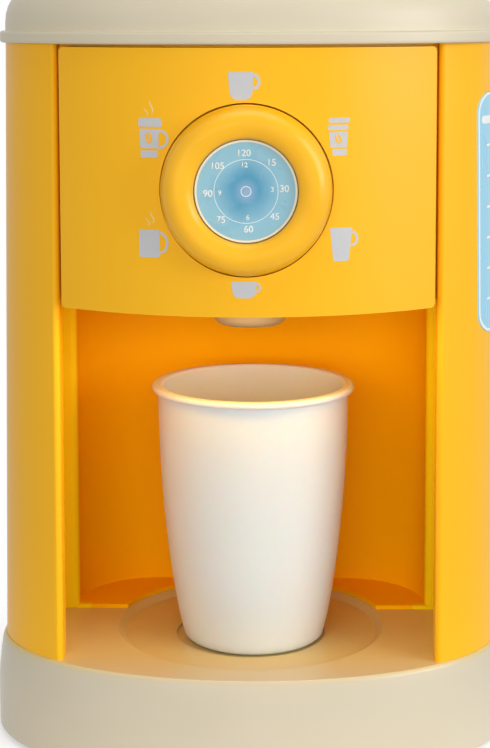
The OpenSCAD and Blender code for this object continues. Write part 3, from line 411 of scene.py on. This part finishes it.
INK_CREAM = ink("ink_cream", (0.86, 0.88, 0.84), (0.80, 0.83, 0.80), roughness=0.35)
INK_RIM = ink("ink_rim", (0.88, 0.80, 0.60), (0.84, 0.75, 0.54), roughness=0.35)
INK_YELLOW = ink("ink_yellow", (0.950, 0.490, 0.010), (0.925, 0.460, 0.007), roughness=0.35)
INK_STEAM = ink("ink_steam", (0.85, 0.62, 0.24), (0.84, 0.60, 0.21), roughness=0.4)

inner_finishes = {
    "base_cover": BEIGE, "rubber_feet": DARK_RUBBER, "base_screws": SCREW_STEEL, "casing_screws": SCREW_STEEL,
    "panel_screws": SCREW_STEEL, "head_screws": SCREW_STEEL, "panel_bush": WHITE_PART,
    "click_spring": SPRING_STEEL, "spring_screw": SCREW_STEEL, "valve_body": WHITE_PART,
    "valve_screws": SCREW_STEEL, "outlet_tube": PALE_TUBE, "spout_nut": BEIGE_SPOUT_SHADED, "water_tank": TANK_WHITE,
    "tank_gasket": DARK_RUBBER, "dial_shaft": WHITE_PART, "shaft_clip": SPRING_STEEL,
    "click_wheel": WHITE_PART, "knob_screw": SCREW_STEEL, "dial_disc": DIAL_BLUE, "valve_plug": WHITE_PART,
    "plug_seals": DARK_RUBBER, "lid_seal": GREY_RUBBER}
for node, material in inner_finishes.items():
    paint(nodes[node], material)


# ---------------------------------------------------------------- mouldings that show

softened("casing_shell", 0.5, YELLOW)
softened("alcove_liner", 0.35, YELLOW_BAY)
panel = softened("front_panel", 0.7, YELLOW_PANEL, segments=3)
softened("head_floor", 0.3, YELLOW_BAY)
softened("base_tray", 0.55, BEIGE_TRAY, segments=3)
softened("lid_shell", 0.35, BEIGE)
softened("spout_nozzle", 0.3, BEIGE_SPOUT_SHADED)
softened("cup", 0.0, CUP_WHITE)
strip = softened("level_gauge", 0.12, STRIP_BLUE)


# ---------------------------------------------------------------- ring knob

def choose(obj, test, part="vertices"):
    """In edit mode, selects the vertices or faces of a piece whose place passes the test."""
    bpy.ops.object.mode_set(mode="OBJECT")
    for kind in ("vertices", "edges", "polygons"):
        for item in getattr(obj.data, kind):
            item.select = False
    for item in getattr(obj.data, part):
        item.select = test(item.co if part == "vertices" else item.center)
    bpy.ops.object.mode_set(mode="EDIT")
    bpy.ops.mesh.select_mode(type="VERT" if part == "vertices" else "FACE")


def turned(name, profile, steps):
    """A closed ring turned as on a lathe: a circle drawn out from one (radius, height) to the next."""
    first_r, first_up = profile[0]
    bpy.ops.object.select_all(action="DESELECT")
    bpy.ops.mesh.primitive_circle_add(vertices=steps, radius=first_r * MM, location=(0, 0, first_up * MM))
    obj = bpy.context.view_layer.objects.active
    obj.name = obj.data.name = name
    bpy.ops.object.transform_apply(location=True, rotation=True, scale=True)
    bpy.ops.object.mode_set(mode="EDIT")
    bpy.ops.mesh.select_all(action="SELECT")
    for (r0, up0), (r1, up1) in zip(profile, profile[1:]):
        bpy.ops.mesh.extrude_region_move(TRANSFORM_OT_translate={"value": (0, 0, (up1 - up0) * MM)})
        bpy.ops.transform.resize(value=(r1 / r0, r1 / r0, 1), center_override=(0, 0, up1 * MM))
    bpy.ops.mesh.select_mode(type="EDGE")
    bpy.ops.mesh.select_all(action="DESELECT")
    bpy.ops.mesh.select_non_manifold()
    bpy.ops.mesh.bridge_edge_loops()
    bpy.ops.mesh.select_all(action="SELECT")
    bpy.ops.mesh.normals_make_consistent(inside=False)
    bpy.ops.object.mode_set(mode="OBJECT")
    return obj


def stand_up(obj, turn, place):
    """Turns a drawing from the drawing plane to its wall and puts its place into the mesh."""
    obj.rotation_euler = turn
    obj.location = place
    pick(obj)
    bpy.ops.object.transform_apply(location=True, rotation=True, scale=True)


# The knob's bead is turned anew with soft finger dips, and sits on the hub and skirt of the CAD knob.
# Its profile goes from the foot on the panel over the crest down into the well of the disc
PANEL_FACE = disc_low.y / MM + 2.4
BEAD_R = (knob_high.x - knob_low.x) / 2 / MM
BEAD_UP = PANEL_FACE - knob_low.y / MM
BEAD_FOOT, BEAD_EDGE, BEAD_SINK = 0.5, 0.4, 0.1
CREST_R = 20.6
WELL_R = (disc_high.x - disc_low.x) / 2 / MM + 0.3
WELL_UP, WELL_LOW = 3.4, 1.2
DIP, DIP_R, DIP_REACH, DIP_TIP = 0.45, 21.8, 8.5, 1.3
quarter = [math.radians(9 * i) for i in range(11)]
bead_profile = [(BEAD_R, BEAD_FOOT - BEAD_SINK), (BEAD_R, BEAD_FOOT)]
bead_profile += [(CREST_R + (BEAD_R - BEAD_EDGE - CREST_R) * math.cos(a),
                  BEAD_FOOT + BEAD_EDGE + (BEAD_UP - BEAD_FOOT - BEAD_EDGE) * math.sin(a)) for a in quarter]
bead_profile += [(CREST_R - (CREST_R - WELL_R) * math.sin(a), WELL_UP + (BEAD_UP - WELL_UP) * math.cos(a))
                 for a in quarter[1:]]
bead_profile += [(WELL_R, WELL_LOW), (WELL_R, BEAD_FOOT - BEAD_SINK)]
bead = turned("dial_bead", bead_profile, 144)
for i in range(6):
    angle = math.radians(60 * i + 30)
    spot = Vector((math.cos(angle), math.sin(angle))) * DIP_R * MM
    choose(bead, lambda co: (co.xy - spot).length < DIP_TIP * MM and co.z > WELL_UP * MM)
    bpy.ops.transform.translate(value=(0, 0, -DIP * MM), use_proportional_edit=True,
                                proportional_edit_falloff="SMOOTH", proportional_size=DIP_REACH * MM)
bpy.ops.object.mode_set(mode="OBJECT")
stand_up(bead, (math.radians(90), 0, 0), (0, PANEL_FACE * MM, DIAL_Z * MM))
paint(bead, YELLOW_DIAL)

knob = softened("dial_knob", 0.0, YELLOW_DIAL)
bpy.ops.object.mode_set(mode="EDIT")
bpy.ops.mesh.select_all(action="SELECT")
bpy.ops.mesh.bisect(plane_co=(0, (PANEL_FACE - BEAD_FOOT) * MM, 0), plane_no=(0, -1, 0), use_fill=True,
                    clear_outer=True)
bpy.ops.object.mode_set(mode="OBJECT")
pick(knob, bead)
bpy.ops.object.join()
bpy.ops.object.shade_smooth_by_angle(angle=math.radians(35))


# ---------------------------------------------------------------- printed marks

# Ink: the film's thickness and how far each print stands off its wall
INK_FILM, LIFT, OVER_LIFT, DISC_LIFT, STRIP_LIFT = 0.03, 0.02, 0.08, 0.01, 0.03
# Drawing: how far ahead of the disc the signs are drawn, the strips that bend with the wall, a cut's snap,
# how far a handle reaches into its cup, and the open seam of a bean
DRAWING_AHEAD, SIGN_STRIP, MARK_STRIP = 20, 1.2, 1.0
CUT_SNAP, HANDLE_HOLD, BEAN_SEAM = 0.001, 0.03, 0.26


def placed_flat(name, x, y, wide, tall):
    """Gives the new flat primitive its name and its size, in the drawing plane and in millimetres."""
    obj = bpy.context.view_layer.objects.active
    obj.name = obj.data.name = name
    obj.scale = (wide * MM, tall * MM, 1)
    obj.location = (x * MM, y * MM, 0)
    bpy.ops.object.transform_apply(location=True, rotation=True, scale=True)
    return obj


def block(name, x, y, wide, tall, foot=None, low_round=0.3, top_round=0.3):
    """A printed block: its lower edge narrowed to the foot's width, its corners rounded."""
    bpy.ops.object.select_all(action="DESELECT")
    bpy.ops.mesh.primitive_plane_add(size=1)
    obj = placed_flat(name, x, y, wide, tall)
    for low, corner in ((True, low_round), (False, top_round)):
        choose(obj, lambda co, low=low: (co.y < y * MM) == low and abs(co.y - y * MM) > 0.49 * tall * MM)
        if low and foot:
            bpy.ops.transform.resize(value=(foot / wide, 1, 1), center_override=(x * MM, y * MM, 0))
        bpy.ops.mesh.bevel(offset=corner * MM, segments=6, affect="VERTICES")
    bpy.ops.object.mode_set(mode="OBJECT")
    return obj


def oval(name, x, y, half_wide, half_tall, steps=48):
    bpy.ops.object.select_all(action="DESELECT")
    bpy.ops.mesh.primitive_circle_add(vertices=steps, radius=1, fill_type="NGON")
    return placed_flat(name, x, y, half_wide, half_tall)


def hollowed(obj, bar):
    """Leaves only a border of the bar's width."""
    pick(obj)
    bpy.ops.object.mode_set(mode="EDIT")
    bpy.ops.mesh.select_mode(type="FACE")
    bpy.ops.mesh.select_all(action="SELECT")
    bpy.ops.mesh.inset(thickness=bar * MM)
    bpy.ops.mesh.delete(type="FACE")
    bpy.ops.object.mode_set(mode="OBJECT")
    return obj


def loop_handle(name, x, y, half_wide, half_tall, bar, cup_x, cup_y, wide, tall, foot):
    """A looped handle: an oval ring cut off along the right side of its cup, given as for a block."""
    ring = hollowed(oval(name, x, y, half_wide, half_tall), bar)
    bpy.ops.object.mode_set(mode="EDIT")
    bpy.ops.mesh.select_all(action="SELECT")
    top_right = ((cup_x + wide / 2 - HANDLE_HOLD) * MM, (cup_y + tall / 2) * MM, 0)
    away = Vector((tall, (foot - wide) / 2, 0)).normalized()
    bpy.ops.mesh.bisect(plane_co=top_right, plane_no=away, clear_inner=True, threshold=CUT_SNAP * MM)
    bpy.ops.object.mode_set(mode="OBJECT")
    return ring


def bean(name, x, y, half_wide, half_tall, lean):
    """A bean with an open seam along its middle."""
    obj = oval(name, x, y, half_wide, half_tall, 28)
    seam = BEAN_SEAM / 2 * MM
    bpy.ops.object.mode_set(mode="EDIT")
    for side in (-seam, seam):
        bpy.ops.mesh.select_all(action="SELECT")
        bpy.ops.mesh.bisect(plane_co=(x * MM + side, 0, 0), plane_no=(1, 0, 0))
    choose(obj, lambda co: abs(co.x - x * MM) < seam, "polygons")
    bpy.ops.mesh.delete(type="FACE")
    bpy.ops.mesh.select_all(action="SELECT")
    bpy.ops.transform.rotate(value=math.radians(lean), orient_axis="Z", center_override=(x * MM, y * MM, 0))
    bpy.ops.object.mode_set(mode="OBJECT")
    return obj


def wisp(name, x, y, tall, wide, sway):
    """A wavy wisp of steam that thins out at both ends."""
    rows, tip, waves = 10, 0.15, 0.8
    bpy.ops.object.select_all(action="DESELECT")
    bpy.ops.mesh.primitive_grid_add(x_subdivisions=1, y_subdivisions=rows, size=1)
    obj = placed_flat(name, x, y + tall / 2, wide, tall)
    for row in range(rows + 1):
        share = row / rows
        height = (y + tall * share) * MM
        choose(obj, lambda co: abs(co.y - height) < 0.01 * MM)
        bpy.ops.transform.resize(value=(tip + (1 - tip) * math.sin(math.pi * share), 1, 1),
                                 center_override=(x * MM, height, 0))
        bpy.ops.transform.translate(value=(sway * MM * math.sin(2 * math.pi * waves * share), 0, 0))
    bpy.ops.object.mode_set(mode="OBJECT")
    return obj


def written(name, text, size, x, y):
    """Plain printed numerals, centred on x and y in millimetres."""
    bpy.ops.object.select_all(action="DESELECT")
    bpy.ops.object.text_add(location=(x * MM, y * MM, 0.0))
    obj = bpy.context.view_layer.objects.active
    obj.name = name
    obj.data.body = text
    obj.data.size = size * MM
    obj.data.align_x = "CENTER"
    obj.data.align_y = "CENTER"
    # A little bolder, but not a 4, whose small opening would close
    obj.data.offset = 0.0 if "4" in text else 0.02 * size * MM
    pick(obj)
    bpy.ops.object.convert(target="MESH")
    bpy.ops.object.transform_apply(location=True, rotation=True, scale=True)
    bpy.ops.object.mode_set(mode="EDIT")
    bpy.ops.mesh.select_all(action="SELECT")
    bpy.ops.mesh.beautify_fill()
    bpy.ops.object.mode_set(mode="OBJECT")
    return bpy.context.view_layer.objects.active


def joined(name, parts):
    pick(*parts)
    bpy.ops.object.join()
    whole = bpy.context.view_layer.objects.active
    whole.name = name
    whole.data.name = name
    return whole


def cut_strips(obj, direction, step):
    """Cuts a flat shape into narrow strips across the wall's bend, so that it can follow the bend."""
    along = [v.co @ direction for v in obj.data.vertices]
    low, high = min(along), max(along)
    pick(obj)
    bpy.ops.object.mode_set(mode="EDIT")
    place = low + step / 2
    while place < high:
        bpy.ops.mesh.select_all(action="SELECT")
        bpy.ops.mesh.bisect(plane_co=direction * place, plane_no=direction)
        place += step
    bpy.ops.object.mode_set(mode="OBJECT")


def printed(obj, material, body):
    """Makes the flat print a thin film of ink that rides on its body."""
    film = obj.modifiers.new("film", "SOLIDIFY")
    film.thickness = INK_FILM * MM
    film.offset = 1.0
    finish_modifiers(obj)
    paint(obj, material)
    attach(obj, body)


def laid_on(obj, wall, axis, lift):
    """Lays the flat print on its wall, lifted by a hair."""
    wrap = obj.modifiers.new("on the wall", "SHRINKWRAP")
    wrap.target = wall
    wrap.wrap_method = "PROJECT"
    wrap.use_project_x = axis == "X"
    wrap.use_project_y = axis == "Y"
    wrap.use_negative_direction = True
    wrap.use_positive_direction = True
    wrap.offset = lift * MM


# Six plain drinking-cup signs round the dial. Each is drawn in millimetres from the dial's axis:
# what is printed in grey, then what is printed over it in the panel's yellow, then the faint steam
def sign_small_cup():
    return [block("small_cup", -1.5, 31.4, 7.8, 8.4, foot=6.4, low_round=2.3),
            loop_handle("small_cup_loop", 2.45, 32.65, 1.9, 2.45, 0.95, -1.5, 31.4, 7.8, 8.4, 6.4)], [], []


def sign_takeaway_cup():
    return [block("takeaway_lid", 28.0, 20.9, 6.4, 1.4, low_round=0.2, top_round=0.5),
            block("takeaway_brim", 27.7, 18.75, 6.1, 1.5),
            block("takeaway_sleeve", 27.8, 15.1, 5.7, 4.6, foot=5.0, low_round=0.2, top_round=0.2),
            block("takeaway_foot", 28.1, 11.25, 4.5, 2.0, foot=4.1)], [
            bean("takeaway_bean", 27.8, 15.2, 0.95, 1.6, -24)], []


def sign_tall_cup():
    return [block("tall_cup", 28.65, -16.8, 6.8, 10.2, foot=4.6, low_round=0.6),
            loop_handle("tall_cup_loop", 32.0, -15.1, 1.95, 2.4, 0.8, 28.65, -16.8, 6.8, 10.2, 4.6)], [], []


def sign_wide_cup():
    return [block("wide_cup", -0.7, -30.15, 7.9, 5.1, foot=6.4, low_round=1.7),
            loop_handle("wide_cup_loop", 3.0, -29.45, 1.45, 1.6, 0.7, -0.7, -30.15, 7.9, 5.1, 6.4)], [], []


def sign_mug():
    return [block("mug", -29.55, -16.6, 6.3, 8.5, low_round=0.6),
            loop_handle("mug_loop", -26.4, -16.3, 2.75, 3.45, 0.78, -29.55, -16.6, 6.3, 8.5, 6.3)], [], [
            wisp("mug_steam_left", -30.0, -11.4, 2.7, 0.5, 0.5),
            wisp("mug_steam_right", -28.6, -10.6, 3.7, 0.6, 0.5)]


def sign_lidded_mug():
    return [block("lidded_mug_lid", -29.15, 20.3, 7.1, 2.6, top_round=0.7),
            block("lidded_mug_side", -29.4, 15.4, 6.0, 5.8, foot=5.6, low_round=0.2, top_round=0.2),
            loop_handle("lidded_mug_loop", -26.3, 15.3, 2.9, 3.0, 0.85, -29.4, 15.4, 6.0, 5.8, 5.6),
            block("lidded_mug_foot", -29.4, 10.7, 5.3, 2.2, low_round=0.6)], [
            bean("lidded_mug_bean", -29.5, 15.6, 1.05, 1.66, -14)], [
            wisp("lidded_mug_steam_left", -30.4, 22.0, 2.6, 0.5, 0.5),
            wisp("lidded_mug_steam_right", -28.8, 22.4, 4.6, 0.6, 0.5)]


layers = (("grey", INK_GREY, LIFT), ("over", INK_YELLOW, OVER_LIFT), ("steam", INK_STEAM, LIFT))
for sign in (sign_small_cup, sign_takeaway_cup, sign_tall_cup, sign_wide_cup, sign_mug, sign_lidded_mug):
    for (kind, material, lift), parts in zip(layers, sign()):
        if parts:
            layer = joined(f"{sign.__name__}_{kind}", parts)
            stand_up(layer, (math.radians(90), 0, 0), (0, disc_low.y - DRAWING_AHEAD * MM, DIAL_Z * MM))
            cut_strips(layer, Vector((1, 0, 0)), SIGN_STRIP * MM)
            laid_on(layer, panel, "Y", lift)
            printed(layer, material, "machine")

# Print of the dial's disc: eight numbers round the outside and four inside, all turned a little
DISC_TURN = math.radians(3.6)
HOUR_RING_R, CENTRE_RING_R, DISC_BORDER_R = 9.7, 1.6, 15.42
disc_marks = []
for texts, size, reach in ((("120", "15", "30", "45", "60", "75", "90", "105"), 2.9, 11.5),
                           (("12", "3", "6", "9"), 2.1, 7.9)):
    for i, text in enumerate(texts):
        angle = math.pi / 2 - 2 * math.pi * i / len(texts) + DISC_TURN
        x, y = reach * math.cos(angle), reach * math.sin(angle)
        disc_marks.append(written(f"dial_{text}", text, size, x, y))
disc_marks.append(hollowed(oval("hour_ring", 0, 0, HOUR_RING_R, HOUR_RING_R, 120), 0.18))
disc_marks.append(hollowed(oval("centre_ring", 0, 0, CENTRE_RING_R, CENTRE_RING_R, 48), 0.22))
dial_numbers = joined("dial_numbers", disc_marks)
dial_border = hollowed(oval("dial_border", 0, 0, DISC_BORDER_R, DISC_BORDER_R, 160), 0.6)
for obj, material in ((dial_numbers, INK_CREAM), (dial_border, INK_RIM)):
    stand_up(obj, (math.radians(90), 0, 0), (0, disc_low.y - DISC_LIFT * MM, DIAL_Z * MM))
    printed(obj, material, "dial")

# Print of the level strip: a pale border, a plain bar and numbered marks
STRIP_CORNER, BORDER_IN, BORDER = 7.0, 0.15, 0.8
BAR_DOWN, FIRST_MARK_DOWN, MARK_STEP = 8.8, 17.0, 9.94
strip_middle = (strip_low + strip_high) / 2 / MM
strip_size = (strip_high - strip_low) / MM
strip_top = strip_high.z / MM
border_corner = STRIP_CORNER - BORDER_IN
border = hollowed(block("strip_border", 0, strip_middle.z, strip_size.y - 2 * BORDER_IN,
                        strip_size.z - 2 * BORDER_IN, low_round=border_corner,
                        top_round=border_corner), BORDER)
marks = [block("strip_bar", -3.0, strip_top - BAR_DOWN, 14.0, 2.5, low_round=1.1, top_round=1.1)]
for i in range(6):
    z = strip_top - FIRST_MARK_DOWN - MARK_STEP * i
    marks.append(block(f"level_tick_{6 - i}", -4.3, z, 5.6, 0.8, low_round=0.3, top_round=0.3))
    marks.append(written(f"level_{6 - i}", str(6 - i), 4.4, 1.8, z))
for obj in (border, joined("strip_marks", marks)):
    stand_up(obj, (math.radians(90), 0, math.radians(90)), (0.1, strip_middle.y * MM, 0))
    cut_strips(obj, Vector((0, 1, 0)), MARK_STRIP * MM)
    laid_on(obj, strip, "X", STRIP_LIFT)
    printed(obj, INK_CREAM, "machine")


# ---------------------------------------------------------------- stage, light and camera

# The floor fades out between two distances from the middle and is lifted towards white for the eye
WORLD_LIGHT = 0.30
FLOOR_FADE = (0.10, 0.17)
FLOOR_LIFT = 0.42
PICTURE_LONG_SIDE = 748


def seen_directly(tree):
    """1 for what the camera sees, also in a reflection or through glass; 0 for light on the object."""
    path = tree.nodes.new("ShaderNodeLightPath")
    total = path.outputs["Is Camera Ray"]
    for ray in ("Is Glossy Ray", "Is Transmission Ray"):
        either = node_of(tree, "Math", operation="MAXIMUM")
        tree.links.new(total, either.inputs[0])
        tree.links.new(path.outputs[ray], either.inputs[1])
        total = either.outputs[0]
    return total


def add_floor():
    """A pale floor that keeps the shadow close to the object and fades out to the white room."""
    bpy.ops.object.select_all(action="DESELECT")
    bpy.ops.mesh.primitive_plane_add(size=3, location=(0, 0, 0))
    floor = bpy.context.view_layer.objects.active
    floor.name = "floor"
    material, tree, shader = start_material("floor_pale", 0.9)
    shader.inputs["Base Color"].default_value = (0.88, 0.88, 0.88, 1.0)
    link = tree.links.new
    shader.inputs["Emission Color"].default_value = (1.0, 1.0, 1.0, 1.0)
    link(ranged(tree, seen_directly(tree), 0.0, FLOOR_LIFT), shader.inputs["Emission Strength"])
    place = node_of(tree, "TexCoord")
    reach = node_of(tree, "VectorMath", operation="LENGTH")
    link(place.outputs["Object"], reach.inputs[0])
    fade = node_of(tree, "MapRange", from_min=FLOOR_FADE[0], from_max=FLOOR_FADE[1],
                   interpolation_type="SMOOTHSTEP")
    link(reach.outputs["Value"], fade.inputs["Value"])
    room = tree.nodes.new("ShaderNodeBsdfTransparent")
    mix = tree.nodes.new("ShaderNodeMixShader")
    link(fade.outputs["Result"], mix.inputs["Fac"])
    link(shader.outputs["BSDF"], mix.inputs[1])
    link(room.outputs["BSDF"], mix.inputs[2])
    link(mix.outputs["Shader"], tree.nodes["Material Output"].inputs["Surface"])
    paint(floor, material)


def add_world():
    world = bpy.data.worlds.new("studio")
    bpy.context.scene.world = world
    world.use_nodes = True
    tree = world.node_tree
    tree.nodes.clear()
    soft = tree.nodes.new("ShaderNodeBackground")
    soft.inputs["Color"].default_value = (0.97, 0.985, 1.0, 1.0)
    soft.inputs["Strength"].default_value = WORLD_LIGHT
    white = tree.nodes.new("ShaderNodeBackground")
    white.inputs["Color"].default_value = (1.0, 1.0, 1.0, 1.0)
    white.inputs["Strength"].default_value = 1.0
    mix = tree.nodes.new("ShaderNodeMixShader")
    out = tree.nodes.new("ShaderNodeOutputWorld")
    tree.links.new(seen_directly(tree), mix.inputs["Fac"])
    tree.links.new(soft.outputs["Background"], mix.inputs[1])
    tree.links.new(white.outputs["Background"], mix.inputs[2])
    tree.links.new(mix.outputs["Shader"], out.inputs["Surface"])


def softbox(name, place, aim, size, power, colour=(1.0, 1.0, 1.0), glare=True):
    lamp = bpy.data.lights.new(name, "AREA")
    lamp.shape = "RECTANGLE"
    lamp.size, lamp.size_y = size
    lamp.energy = power
    lamp.color = colour
    obj = bpy.data.objects.new(name, lamp)
    bpy.context.scene.collection.objects.link(obj)
    obj.location = place
    obj.rotation_mode = "QUATERNION"
    obj.rotation_quaternion = (Vector(aim) - Vector(place)).to_track_quat("-Z", "Y")
    obj.visible_camera = False
    obj.visible_glossy = glare


add_floor()
add_world()
softbox("key", (1.09, -0.63, 0.456), (0.0, 0.0, 0.14), (0.80, 0.60), 8.5)
softbox("front", (-0.18, -1.30, 0.28), (0.0, 0.0, 0.12), (1.00, 0.50), 7.8, glare=False)
softbox("overhead", (0.1, -0.25, 1.05), (0.0, 0.0, 0.12), (0.7, 0.5), 2.5)
softbox("rear", (0.25, 1.25, 0.36), (0.0, 0.0, 0.12), (1.00, 0.50), 7.0, glare=False)
softbox("bay_bounce", (0.0, -0.052, 0.1462), (0.0, -0.016, 0.030), (0.10, 0.012), 0.042, (1.0, 0.56, 0.07),
        glare=False)


def set_camera(place, pitch, azimuth, roll, focal_px, shift):
    """Places and aims the camera; its focal length is in picture elements of the long side."""
    data = bpy.data.cameras.new("camera")
    data.sensor_width = 36.0
    data.lens = focal_px / PICTURE_LONG_SIDE * data.sensor_width
    data.shift_x, data.shift_y = shift
    data.clip_start, data.clip_end = 0.01, 20.0
    camera = bpy.data.objects.new("camera", data)
    bpy.context.scene.collection.objects.link(camera)
    camera.matrix_world = (Matrix.Translation(place) @ Matrix.Rotation(math.radians(azimuth), 4, "Z")
                           @ Matrix.Rotation(math.radians(90 - pitch), 4, "X")
                           @ Matrix.Rotation(math.radians(roll), 4, "Z"))
    bpy.context.scene.camera = camera


set_camera((0.01201, -0.60159, 0.24068), 5.83, 1.31, -0.13, 1809.4, (0.0, -0.24))
bpy.context.scene.view_settings.view_transform = "Standard"
